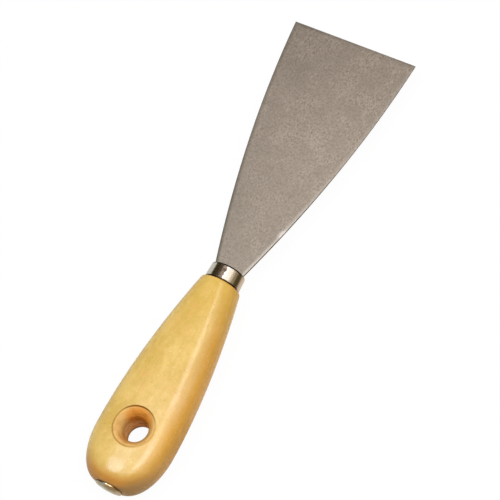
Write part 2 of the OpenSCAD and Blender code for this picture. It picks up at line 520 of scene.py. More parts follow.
@dataclass(frozen=True)
class GroundSteel:
    """Matte spring steel with a fine mottled grain of specks on wide blotches.

    Painted shade darkens it towards its neck and its left side and runs as a thin dark
    line along its outline, and a painted highlight lightens its right side near the neck,
    with a painted glint.
    """

    mouth_y: float
    tip_y: float
    light: Colour = (0.495, 0.412, 0.342)
    dark: Colour = (0.315, 0.270, 0.223)
    # pit_and_shade is the colour of real pits and also of the painted shade.
    pit_and_shade: Colour = (0.12, 0.105, 0.08)
    glint: Colour = (0.60, 0.54, 0.46)
    # edge_highlight is a painted highlight along the rolled right edge.
    edge_highlight: Colour = (0.66, 0.62, 0.58)
    # edge_glint is a painted glint.
    edge_glint: Colour = (0.85, 0.80, 0.76)
    specks: Grain = Grain((0.8, 0.8, 0.8), detail=1.0, rough=0.7)
    blotches: Grain = Grain((6.0, 6.0, 6.0))
    dashes: Grain = Grain((0.6, 1.1, 0.6), detail=1.5, rough=0.7)
    pits: Grain = Grain((0.8, 0.8, 0.8), detail=1.0, twist=0.4, shown=(0.64, 0.76, 0, 0.35))
    speck_share: float = 0.4
    blotch_share: float = 0.2
    mottle: Ramp = (0.34, 0.66)
    clusters: Ramp = (0.44, 0.56, 0.25, 1)
    glints: Ramp = (0.52, 0.68, 0, 0.36)
    dents: Ramp = (0.48, 0.32, 0, 0.36)
    # Painted shade: towards the neck, on the left side, along the left outline and in a thin
    # dark line round the outline.
    neck_reach: float = 70.0
    neck_share: float = 0.29
    left: Ramp = (0.4, -0.9, 0, 0.08)
    left_rim: Ramp = (0.4, -0.9, 0.2, 0.4)
    right: Ramp = (0.0, 0.6)
    from_tip: Ramp = (1.0, 3.0)
    rim: Ramp = (1.8, 0.2)
    # Painted highlight along the rolled right edge, strongest near the neck.
    edge_highlight_y: Ramp = (45.0, 10.0, 0.18, 0.45)
    line: Ramp = (0.2, 0.05)
    line_y: Ramp = (60.0, 20.0, 0, 0.4)
    line_least: float = 0.1
    # A painted glint on the right edge.
    edge_glint_y: float = 14.8
    edge_glint_length: Ramp = (2.4, 0.6)
    edge_glint_width: Ramp = (2.0, 0.8, 0, 0.6)
    roughness: float = 0.5
    mottle_rough: float = 0.08
    bump: Span = (0.01 * MM, 0.25)

    def material(self) -> bpy.types.Material:
        """Makes the material.

        Returns:
            The steel, with a slight bump of specks.
        """
        graph = Graph("ground_steel")
        place = graph.place()
        y = graph.axes(place)[1]
        from_edge, across = (graph.node("ShaderNodeAttribute", {"attribute_name": name},
                                        output="Fac") for name in (FROM_EDGE, ACROSS))
        specks, blotches, dashes, pits = (
            graph.noise(place, grain)
            for grain in (self.specks, self.blotches, self.dashes, self.pits))
        mottle = ((specks - 0.5) * self.speck_share + (blotches - 0.5) * self.blotch_share
                  + 0.5).ramp(*self.mottle)
        clusters = blotches.ramp(*self.clusters)
        colour = graph.mix(mottle, self.dark, self.light)
        for shown, tint in ((self.glints, self.glint), (self.dents, self.pit_and_shade)):
            colour = graph.mix(dashes.ramp(*shown) * clusters, colour, tint)
        right = across.ramp(*self.right) * (self.tip_y - y).ramp(*self.from_tip)
        rim = from_edge.ramp(*self.rim)
        # Painted highlight: a lighter band along the rolled right edge near the neck.
        colour = graph.mix(rim * right * y.ramp(*self.edge_highlight_y), colour, self.edge_highlight)
        # Painted glint: one bright spot on the right edge near the neck.
        edge_glint = (abs(y - self.edge_glint_y).ramp(*self.edge_glint_length)
                * from_edge.ramp(*self.edge_glint_width) * right)
        colour = graph.mix(edge_glint, colour, self.edge_glint)
        # Painted shade: darker towards the neck, on the left side, along the left outline and
        # in a thin dark line round the outline, strongest on the right near the neck. The
        # pits are real.
        neck = y.ramp(self.mouth_y + self.neck_reach, self.mouth_y, 0, self.neck_share)
        line = right * y.ramp(*self.line_y) + self.line_least
        shade = (pits * clusters + neck + across.ramp(*self.left)
                 + rim * (1 - right) * across.ramp(*self.left_rim)
                 + from_edge.ramp(*self.line) * line)
        return graph.finish(
            {"Metallic": 1.0},
            {"Base Color": graph.mix(shade, colour, self.pit_and_shade),
             "Roughness": self.roughness + (mottle - 0.5) * self.mottle_rough,
             "Normal": graph.bump(specks, *self.bump)})


@dataclass(frozen=True)
class BrightNickel:
    """Bright nickel plating, with a dark seam of grime and painted shade at the wood and at
    the mouth.

    The seams are fainter on the sides than on the faces, and a painted dark reflection
    rings one punch mark.
    """

    foot_y: float
    mouth_y: float
    mark: Point
    colour: Colour = (0.68, 0.63, 0.56)
    # mark_reflection is a painted dark reflection round a punch mark.
    mark_reflection: Colour = (0.20, 0.165, 0.11)
    # grime_and_shade: grime and painted shade.
    grime_and_shade: Colour = (0.045, 0.026, 0.008)
    haze: Grain = Grain((4.0, 0.5, 4.0), detail=3.0)
    mark_reflection_reach: Ramp = (1.0, 0.4, 0, 0.4)
    foot_seam: Ramp = (0.95, 0.6)
    mouth_seam: Ramp = (0.7, 0.4)
    faces: Ramp = (0.1, 0.5, 0.3, 1)
    roughness: float = 0.19
    haze_rough: float = 0.1
    seam_rough: float = 0.2

    def material(self) -> bpy.types.Material:
        """Makes the material.

        Returns:
            A mirror metal with a slight haze that varies along the tube.
        """
        graph = Graph("bright_nickel")
        place = graph.place()
        axes = graph.axes(place)
        # Painted dark reflection round the upper punch mark.
        from_mark = graph.length(*(axis - at for axis, at in zip(axes, self.mark)))
        colour = graph.mix(from_mark.ramp(*self.mark_reflection_reach), self.colour, self.mark_reflection)
        y, upright = axes[1], graph.slopes()[2]
        # Seams at the wood and at the mouth: grime and painted shade, fainter on the sides.
        seam = (((y - self.foot_y).ramp(*self.foot_seam)
                 + (self.mouth_y - y).ramp(*self.mouth_seam))
                * abs(upright).ramp(*self.faces))
        haze = (graph.noise(place, self.haze) - 0.5) * self.haze_rough
        return graph.finish(
            {"Metallic": 1.0},
            {"Base Color": graph.mix(seam, colour, self.grime_and_shade),
             "Roughness": self.roughness + haze + seam * self.seam_rough})


@dataclass(frozen=True)
class LacqueredWood:
    """Honey-coloured close-grained hardwood under clear lacquer, bare in its hang hole.

    It has a soft figure, small marks and darker end grain. Painted shade deepens it to amber
    on its right and darkens its right flank and the butt. The bare wood is torn in places and
    oranger on the far wall; painted light from the floor makes it paler deep inside, painted
    shade darkens its near flare, its lower bore and its right side, and its cut edges are
    dark, partly with painted shade.
    """

    hole_y: float
    rim_radius: float
    bore_end_z: float
    centre_z: float
    butt_y: float
    seat_radius: float
    pale: Colour = (0.71, 0.496, 0.157)
    deep: Colour = (0.61, 0.400, 0.100)
    # amber_shade is painted shade.
    amber_shade: Colour = (0.62, 0.31, 0.045)
    ripe: Colour = (0.58, 0.36, 0.05)
    blush: Colour = (0.74, 0.40, 0.14)
    fleck: Colour = (0.36, 0.18, 0.03)
    dust: Colour = (0.95, 0.82, 0.48)
    end_grain: Colour = (0.50, 0.22, 0.042)
    # flank_shade is painted shade.
    flank_shade: Colour = (0.30, 0.17, 0.05)
    bare: Colour = (0.70, 0.43, 0.147)
    bare_end: Colour = (0.70, 0.28, 0.047)
    # bounce_light is painted light from the floor.
    bounce_light: Colour = (0.97, 0.56, 0.24)
    # torn_and_shade colours the real tears and also painted shade in the hole.
    torn_and_shade: Colour = (0.22, 0.08, 0.015)
    # cut_edge_and_shade colours the dark cut edges and also painted shade.
    cut_edge_and_shade: Colour = (0.19, 0.065, 0.003)
    fibres: Grain = Grain((0.6, 9.0, 0.6), detail=3.0, rough=0.6)
    figure: Grain = Grain((7.0, 13.0, 7.0), detail=3.0)
    cloud: Grain = Grain((2.4, 3.0, 2.4), detail=3.0, rough=0.6)
    blushes: Grain = Grain((2.2, 3.0, 2.2), detail=1.0, twist=0.5, shown=(0.5, 0.7, 0, 0.25))
    flecks: Grain = Grain((0.45, 0.7, 0.45), detail=1.0, shown=(0.68, 0.76, 0, 0.5))
    dusting: Grain = Grain((0.5, 0.5, 0.5), detail=0.0, shown=(0.74, 0.82, 0, 0.25))
    tears: Grain = Grain((2.6, 2.6, 0.7), detail=3.0, rough=0.6, shown=(0.46, 0.62))
    ripple: Grain = Grain((0.9, 0.9, 0.9))
    tone_shares: Point = (0.12, 0.48, 0.4)
    tone: Ramp = (0.38, 0.62)
    # Painted shade: amber on the right and on a band of leaning flank.
    amber_shade_x: Ramp = (5.0, 14.5)
    waist_flank: tuple[Ramp, Ramp] = ((0.25, 0.57), (0.75, 0.93))
    waist_y: Ramp = (-54.0, -28.0, 0, 0.35)
    ripe_y: Ramp = (-34.0, -16.0, 0, 0.35)
    end_across: Ramp = (0.1, 0.6, 0, 0.95)
    # Painted shade on the right flank: towards the butt, along the grip and at the heel.
    butt_shade_flank: Ramp = (0.3, 0.87)
    butt_shade_across: Ramp = (0.15, 0.6, 0.45, 1)
    butt_shade_y: Ramp = (-56.0, -82.0, 0, 0.85)
    grip_shade_flank: Ramp = (0.15, 0.5, 0, 0.2)
    grip_shade_y: Ramp = (-76.0, -58.0)
    grip_shade_fade: Ramp = (-24.0, -14.0, 0, 0.6)
    heel_flank: Ramp = (0.65, 0.95)
    heel_y: Ramp = (-56.0, -74.0, 0, 0.22)
    hole_edge: Ramp = (0.1, -0.1)
    far_wall: Ramp = (0.1, 0.7)
    near_wall: Ramp = (0.4, 1.1)
    # Painted light from the floor, paler low in the bore.
    bounce_light_depth: Ramp = (-3.5, 0.5)
    bounce_light_shares: Span = (0.95, 0.55)
    shadow_x: Ramp = (1.0, 5.0, 0, 0.15)
    torn_shares: Span = (0.2, 0.38)
    # Dark cut edge round the rim, made darker on the far side and fainter on the right by
    # painted shade.
    far_rim: Span = (0.35, 0.95)
    far_rim_shares: Span = (0.52, 1.02)
    rim_width: Ramp = (0.47, 0.12)
    rim_x: Ramp = (0.0, 5.0, 0, 0.35)
    # Painted shade on the near side of the flare.
    near_slant: float = 0.6
    near_reach: Ramp = (1.0, -5.0)
    near_depth: Ramp = (-0.6, -1.9, 0, 0.4)
    # Painted shade low in the bore.
    lower_depth: Ramp = (-0.8, 0.0, 0, 0.4)
    # Dark joint round the button's seat, deepened by painted shade.
    seat_width: Ramp = (0.45, 0.1)
    seat_depth: Ramp = (-2.0, -1.0, 0, 0.4)
    lacquer_edge: Ramp = (0.1, 0.45)
    end_coat: Ramp = (0.45, 0.95, 1, 0.55)
    rub_from_hole: float = 4.0
    rub_length: Ramp = (10.0, 3.0)
    rub_x: Ramp = (6.5, 8.5, 0, 0.4)
    ripple_coat: Span = (0.6, 1.2)
    roughness: Span = (0.5, 0.8)
    specular: float = 0.0
    coat_roughness: float = 0.17
    coat_ior: float = 1.5
    bump: Span = (0.02 * MM, 0.1)

    def material(self) -> bpy.types.Material:
        """Makes the material.

        Returns:
            The wood, with a slight bump of fibres.
        """
        graph = WoodGraph("lacquered_wood", self.hole_y, self.rim_radius)
        fibres = graph.noise(graph.spot, self.fibres)
        inside = graph.from_hole.ramp(*self.hole_edge)
        colour = self._shaded_flank(graph, self._grown_and_shaded(graph, fibres))
        colour = graph.mix(inside, colour, self._bare(graph))
        return graph.finish(
            {"Specular IOR Level": self.specular, "Coat Roughness": self.coat_roughness,
             "Coat IOR": self.coat_ior},
            {"Base Color": self._dark_edges_and_shade(graph, colour, inside),
             "Roughness": inside.between(*self.roughness),
             "Coat Weight": self._coat(graph), "Normal": graph.bump(fibres, *self.bump)})

    def _grown_and_shaded(self, graph: WoodGraph, fibres: Signal) -> Signal:
        """Gives the wood's colour, with painted shade on its right.

        Args:
            graph: The material.
            fibres: The pattern of its fibres.

        Returns:
            Figure from deep to pale, painted amber shade on the right and on leaning flanks,
            small marks and end grain.
        """
        patterns = [fibres] + [graph.noise(graph.spot, g) for g in (self.figure, self.cloud)]
        tone = sum(pattern * share for pattern, share in zip(patterns, self.tone_shares))
        colour = graph.mix(tone.ramp(*self.tone), self.deep, self.pale)
        # Painted shade: amber on the right and on a band of leaning flank along the grip.
        rise, fall = (graph.flank.ramp(*span) for span in self.waist_flank)
        waist = (rise - fall) * graph.y.ramp(*self.waist_y)
        colour = graph.mix(graph.x.ramp(*self.amber_shade_x) + waist, colour, self.amber_shade)
        colour = graph.mix(graph.y.ramp(*self.ripe_y), colour, self.ripe)
        for grain, tint in ((self.blushes, self.blush), (self.flecks, self.fleck),
                            (self.dusting, self.dust)):
            colour = graph.mix(graph.noise(graph.spot, grain), colour, tint)
        return graph.mix(graph.across.ramp(*self.end_across), colour, self.end_grain)

    def _shaded_flank(self, graph: WoodGraph, colour: Signal) -> Signal:
        """Paints shade on the butt and the right flank.

        Args:
            graph: The material.
            colour: The colour so far.

        Returns:
            The colour with the painted shade.
        """
        flank, y = graph.flank, graph.y
        # Painted shade on the right flank: towards the butt, along the grip and at the heel.
        butt_shade = (flank.ramp(*self.butt_shade_flank) * y.ramp(*self.butt_shade_y)
                * graph.across.ramp(*self.butt_shade_across))
        colour = graph.mix(butt_shade, colour, self.flank_shade)
        grip_shade = flank.ramp(*self.grip_shade_flank) * (y.ramp(*self.grip_shade_y) - y.ramp(*self.grip_shade_fade))
        heel = flank.ramp(*self.heel_flank) * y.ramp(*self.heel_y)
        return graph.mix(grip_shade + heel, colour, self.flank_shade)

    def _bare(self, graph: WoodGraph) -> Signal:
        """Gives the colour of the bare wood in the hang hole.

        Args:
            graph: The material.

        Returns:
            Torn wood, end grain on the far wall, painted light from the floor below and a
            painted shadow on the right.
        """
        end = (0 - graph.along).ramp(*self.far_wall) + graph.along.ramp(*self.near_wall)
        torn_and_shade = graph.noise(graph.spot, self.tears)
        bare = graph.mix(end, self.bare, self.bare_end)
        # Painted light from the floor: paler low in the bore.
        bounce_light = (self.centre_z - graph.z).ramp(*self.bounce_light_depth) * torn_and_shade.between(*self.bounce_light_shares)
        bare = graph.mix(bounce_light, bare, self.bounce_light)
        # Painted shadow on the right of the bore.
        bare = graph.mix(graph.x.ramp(*self.shadow_x), bare, self.torn_and_shade)
        return graph.mix(torn_and_shade * end.between(*self.torn_shares), bare, self.torn_and_shade)

    def _dark_edges_and_shade(self, graph: WoodGraph, colour: Signal, inside: Signal) -> Signal:
        """Darkens the wood with dark cut edges and painted shade along the hang hole's edges,
        low in its bore and round the button.

        Args:
            graph: The material.
            colour: The colour so far.
            inside: 1 inside the hang hole.

        Returns:
            The darkened colour.
        """
        x, z, off, from_hole = graph.x, graph.z, graph.off, graph.from_hole
        # Painted shade on the near side of the flare, below the rim.
        near = ((off - x * self.near_slant).ramp(*self.near_reach)
                * from_hole.ramp(*self.near_depth))
        colour = graph.mix(near, colour, self.torn_and_shade)
        # Dark cut edge round the rim, made darker on the far side and fainter on the right by
        # painted shade, and painted shade low in the bore.
        far = (off / self.rim_radius).ramp(*self.far_rim, *self.far_rim_shares)
        rim = abs(from_hole).ramp(*self.rim_width) * (far - x.ramp(*self.rim_x))
        lower = (self.bore_end_z - z).ramp(*self.lower_depth) * inside
        colour = graph.mix(rim + lower, colour, self.cut_edge_and_shade)
        # Dark joint round the button's seat, deepened by painted shade.
        from_seat = graph.length(x, z - self.centre_z) - self.seat_radius
        seat = (from_seat.ramp(*self.seat_width)
                * (self.butt_y - graph.y).ramp(*self.seat_depth))
        return graph.mix(seat, colour, self.cut_edge_and_shade)

    def _coat(self, graph: WoodGraph) -> Signal:
        """Gives the lacquer's weight.

        Args:
            graph: The material.

        Returns:
            None in the hang hole, thinner on end grain and where it is rubbed, and uneven.
        """
        rubbed = (abs(graph.off - self.rub_from_hole).ramp(*self.rub_length)
                  * graph.x.ramp(*self.rub_x))
        ripple = graph.noise(graph.spot, self.ripple).between(*self.ripple_coat)
        return (graph.from_hole.ramp(*self.lacquer_edge) * graph.across.ramp(*self.end_coat)
                * (1 - rubbed) * ripple)


@dataclass(frozen=True)
class DulledSteel:
    """Plated steel that hammering and handling have dulled, dark round its edge with grime
    and painted shade.

    It is scuffed and tarnished, and a painted reflection of the wood makes it brownest on
    its right and high on its face, less so at its lip.
    """

    seat_y: float
    centre_z: float
    colour: Colour = (0.76, 0.73, 0.61)
    # tarnish_and_reflection: real tarnish and a painted reflection of the wood.
    tarnish_and_reflection: Colour = (0.29, 0.18, 0.06)
    grime_and_shade: Colour = (0.10, 0.06, 0.018)
    scuffs: Grain = Grain((2.2, 2.2, 2.2), detail=4.0, rough=0.7)
    scuffed: Ramp = (0.6, 0.35, 0, 0.5)
    # Painted reflection of the wood: brown on the right and high on the face, less at the
    # lip.
    right_x: Ramp = (-5.0, 1.0, 0, 0.45)
    high_z: Ramp = (-0.5, 3.5, 0, 0.65)
    lip_z: Ramp = (3.8, 4.8, 0, 0.25)
    clean_share: float = 0.22
    # Dark seam at the seat: grime and painted shade.
    seam: Ramp = (0.26, 0.08)
    roughness: float = 0.36
    scuff_rough: float = 0.3
    worn_z: Ramp = (3.5, 4.8, 0, 0.1)

    def material(self) -> bpy.types.Material:
        """Makes the material.

        Returns:
            A satin metal, smoother along its upper edge.
        """
        graph = Graph("dulled_steel")
        place = graph.place()
        x, y, z = graph.axes(place)
        scuffs, height = graph.noise(place, self.scuffs), z - self.centre_z
        # Brown: real scuffs and tarnish, with a painted reflection of the wood on the right
        # and high on the face, less at the lip.
        brown = (scuffs.ramp(*self.scuffed) + x.ramp(*self.right_x)
                 + height.ramp(*self.high_z) - height.ramp(*self.lip_z) - self.clean_share)
        colour = graph.mix(brown, self.colour, self.tarnish_and_reflection)
        # Dark seam at the seat: grime and painted shade.
        seam = (self.seat_y - y).ramp(*self.seam)
        return graph.finish(
            {"Metallic": 1.0},
            {"Base Color": graph.mix(seam, colour, self.grime_and_shade),
             "Roughness": self.roughness + (scuffs - 0.5) * self.scuff_rough
             - height.ramp(*self.worn_z)})


# ---------------------------------------------------------------------------
# The knife, with lengths in metres and angles in degrees
# ---------------------------------------------------------------------------

class Part(Enum):
    """The knife's pieces: the solid's name, the new piece's name and its finish slot."""

    BLADE = ("blade", "ground_blade", "blade_steel")
    FERRULE = ("ferrule", "plated_ferrule", "ferrule_plating")
    HANDLE = ("handle", "lacquered_handle", "handle_wood")
    BUTTON = ("butt_button", "domed_button", "button_steel")

    @property
    def solid(self) -> str:
        """The solid's name."""
        return self.value[0]

    @property
    def piece(self) -> str:
        """The new piece's name."""
        return self.value[1]

    def dress(self, piece: bpy.types.Object,
              material: bpy.types.Material) -> bpy.types.Object:
        """Gives a piece its material and puts it in its solid's place.

        Args:
            piece: The new piece.
            material: Its material.

        Returns:
            The piece.
        """
        node, _, slot = self.value
        piece.data.materials.append(material)
        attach(piece, BODY)
        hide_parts(node)
        log.info("%s: %d faces in place of %s", piece.name, len(piece.data.polygons), node)
        return piece


@dataclass
class Blade:
    """Blade, neck and tang: one sheet of spring steel, ground towards the working edge."""

    mouth_y: float
    tenon_y: float
    neck_half: float = 5.7 * MM
    tang_half: float = 4.5 * MM
    tang_end_half: float = 2.5 * MM
    edge_half_t: float = 0.25 * MM
    root_flare: float = 16.8
    edge_flare: float = 4.3
    corner: float = 0.12 * MM
    roll_width: float = 1.1 * MM
    roll_depth: float = 0.08 * MM
    roll_reach: float = 75 * MM
    side_power: float = 0.7
    tang_rows: int = 16
    side_rows: int = 110
    tip_rows: tuple[float, ...] = (0.6 * MM, 0.4 * MM, 0.2 * MM, 0.0)
    end_steps: int = 5
    side_steps: int = 6
    roll_steps: int = 9
    face_steps: int = 17
    crease: float = 50.0

    def __post_init__(self) -> None:
        """Takes over the solid's length, width and thickness."""
        low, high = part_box(Part.BLADE.solid)
        self.tip_y, self.tang_y = high.y, low.y
        self.tip_half, self.half_t = high.x, (high.z - low.z) / 2
        self.mid_z = (high.z + low.z) / 2

    def build(self) -> bpy.types.Object:
        """Builds and dresses the blade.

        Returns:
            The finished piece.
        """
        shell = Shell()
        rings, marks = self._surface()
        rows = shell.add(rings)
        shell.skin(rows)
        shell.zip_up(rows[0])
        shell.zip_up(rows[-1])
        piece = shell.build(Part.BLADE.piece, self.crease)
        for name, values in marks.items():
            layer = piece.data.attributes.new(name, "FLOAT", "POINT")
            layer.data.foreach_set("value", values.ravel().astype(np.float32))
        finish = GroundSteel(mouth_y=self.mouth_y / MM, tip_y=self.tip_y / MM)
        return Part.BLADE.dress(piece, finish.material())

    def _outline(self) -> tuple[Array, Array, Array]:
        """Lays out the rows, from the tang to the tip.

        The tang widens evenly, the shoulders are one step, the sides are a cubic, and the
        thickness falls evenly from the mouth to the tip. At both ends the last rows draw
        in along a quarter circle.

        Returns:
            The y, the half width and the half thickness of each row.
        """
        tang_y = np.linspace(self.tang_y + self.corner, self.tenon_y, self.tang_rows)
        tang = np.interp(tang_y, [self.tang_y, self.tenon_y],
                         [self.tang_end_half, self.tang_half])
        length = self.tip_y - self.mouth_y
        near_tip = self.tip_y - self.corner - np.array(self.tip_rows)
        y = np.concatenate([np.linspace(self.mouth_y, near_tip[0], self.side_rows)[:-1],
                            near_tip])
        root, edge = (math.tan(math.radians(a)) for a in (self.root_flare, self.edge_flare))
        side = cubic(self.neck_half, self.tip_half, root, edge, length,
                     (y - self.mouth_y) / length)
        rows_y = np.concatenate([tang_y, [self.tenon_y], y])
        half = np.concatenate([tang, [self.neck_half], side])
        thick = np.interp(rows_y, [self.mouth_y, self.tip_y], [self.half_t, self.edge_half_t])
        bend = quarter_turn(self.end_steps)[1:]
        out, draw = self.corner * np.sin(bend), self.corner * (1 - np.cos(bend))
        rows_y = np.concatenate([(rows_y[0] - out)[::-1], rows_y, rows_y[-1] + out])
        half, thick = (np.concatenate([(size[0] - draw)[::-1], size, size[-1] - draw])
                       for size in (half, thick))
        return rows_y, half, thick

    def _surface(self) -> tuple[Array, dict[str, Array]]:
        """Lays out the rings of the sheet, each one section across it.

        Going round a ring: the upper face from the right side to the left, the left side,
        the lower face and the right side. Near each side the face rolls off along a
        parabola, most at the neck, and the side itself is half a superellipse.

        Returns:
            The rings, and two marks of each point: its distance from the blade's outline in
            millimetres, and its place across, from -1 at the left to 1 at the right.
        """
        y, half, thick = (a[:, None] for a in self._outline())
        roll = self.roll_depth * np.clip(1 - (y - self.mouth_y) / self.roll_reach, 0, 1)
        roll = np.where(y < self.mouth_y, 0, roll)
        near = self.corner + self.roll_width * steps(self.roll_steps) + 0 * half
        far = near[:, -1:] + (half - near[:, -1:]) * steps(self.face_steps)
        inset = np.concatenate([near, far], axis=1)
        drop = roll * np.clip(1 - (inset - self.corner) / self.roll_width, 0, 1)**2
        face_x, face_z = half - inset, thick - drop
        bend = quarter_turn(self.side_steps)
        side_x = half - self.corner * (1 - np.cos(bend)**self.side_power)
        side_z = (thick - roll) * np.sin(bend)**self.side_power
        right, height, inward = (
            np.concatenate(pair, axis=1) for pair in
            ((side_x, face_x[:, :-1]), (side_z, face_z[:, :-1]), (0 * side_x, inset[:, :-1])))
        x = round_ring(right, 0 * half, -1, 1)
        z = round_ring(height, thick, 1, -1)
        inward = round_ring(inward, half, 1, 1)
        marks = {FROM_EDGE: np.minimum(inward, self.tip_y - y) / MM, ACROSS: x / half}
        return ring_points(x, y, self.mid_z + z), marks


@dataclass
class Ferrule:
    """Drawn tube, wider at its rounded foot, with a rounded lip and two punch marks."""

    mouth_radius: float = 6.6 * MM
    wall: float = 0.7 * MM
    lip_reach: float = 0.65 * MM
    foot_round: float = 0.3 * MM
    stake_radius: float = 1.1 * MM
    stake_depth: float = 0.045 * MM
    stake_from_mouth: float = 1.8 * MM
    stake_turn: float = 6.0
    around: int = 256
    along: int = 40
    lip_steps: int = 17
    foot_steps: int = 6
    crease: float = 50.0

    def __post_init__(self) -> None:
        """Takes over the solid's length, place and foot."""
        low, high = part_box(Part.FERRULE.solid)
        self.foot_y, self.mouth_y, self.foot_radius = low.y, high.y, high.x
        self.mid_z = (low.z + high.z) / 2

    def build(self) -> bpy.types.Object:
        """Builds and dresses the ferrule.

        Returns:
            The finished piece.
        """
        shell = Shell()
        rows = shell.add(self._surface())
        shell.skin(np.concatenate([rows, rows[:1]]))
        turn, from_axis = math.radians(UP - self.stake_turn), self.mouth_radius
        mark = np.array([from_axis * math.cos(turn), self.mouth_y - self.stake_from_mouth,
                         self.mid_z + from_axis * math.sin(turn)]) / MM
        finish = BrightNickel(foot_y=self.foot_y / MM, mouth_y=self.mouth_y / MM,
                              mark=tuple(mark.tolist()))
        piece = shell.build(Part.FERRULE.piece, self.crease)
        return Part.FERRULE.dress(piece, finish.material())

    def _surface(self) -> Array:
        """Lays out the rings: the rounded foot, the outside, over the lip and down.

        The foot is a quarter circle, and the lip is half an ellipse across the wall.

        Returns:
            The rings of the tube with its marks.
        """
        lip = self.wall / 2
        bend = np.linspace(0, np.pi, self.lip_steps)
        over_lip = np.stack([self.mouth_radius - lip + lip * np.cos(bend),
                             self.mouth_y - self.lip_reach * (1 - np.sin(bend))], axis=1)
        turn_in = quarter_turn(self.foot_steps)
        foot = np.stack([self.foot_radius - self.foot_round * (1 - np.sin(turn_in)),
                         self.foot_y + self.foot_round * (1 - np.cos(turn_in))], axis=1)
        outside = np.linspace(foot[-1], over_lip[0], self.along)
        inner_foot = self.foot_radius - self.wall, self.foot_y
        inside = np.linspace(over_lip[-1], inner_foot, self.along)
        points = turned(np.concatenate([foot[:-1], outside[:-1], over_lip, inside[1:]]),
                        self.mid_z, self.around)
        for face in (UP, DOWN):
            points = self._dent(points, math.radians(face - self.stake_turn))
        return points

    def _dent(self, points: Array, turn: float) -> Array:
        """Presses one punch mark into the outside of the tube.

        Formula: the depth times (1 - s^2)^2, where s is the distance from the mark's
        centre as a share of its radius.

        Args:
            points: The rings of the tube.
            turn: Angle of the mark about the axis.

        Returns:
            The rings with the mark.
        """
        x, z = points[..., 0], points[..., 2] - self.mid_z
        radius = np.hypot(x, z)
        arc = radius * (np.angle(np.exp(1j * (np.arctan2(z, x) - turn))))
        along = points[..., 1] - (self.mouth_y - self.stake_from_mouth)
        share = np.hypot(arc, along) / self.stake_radius
        outer = radius > self.mouth_radius - self.wall / 2
        depth = np.where(outer, self.stake_depth * np.clip(1 - share**2, 0, 1)**2, 0)
        scale = 1 - depth / radius
        return ring_points(x * scale, points[..., 1], self.mid_z + z * scale)


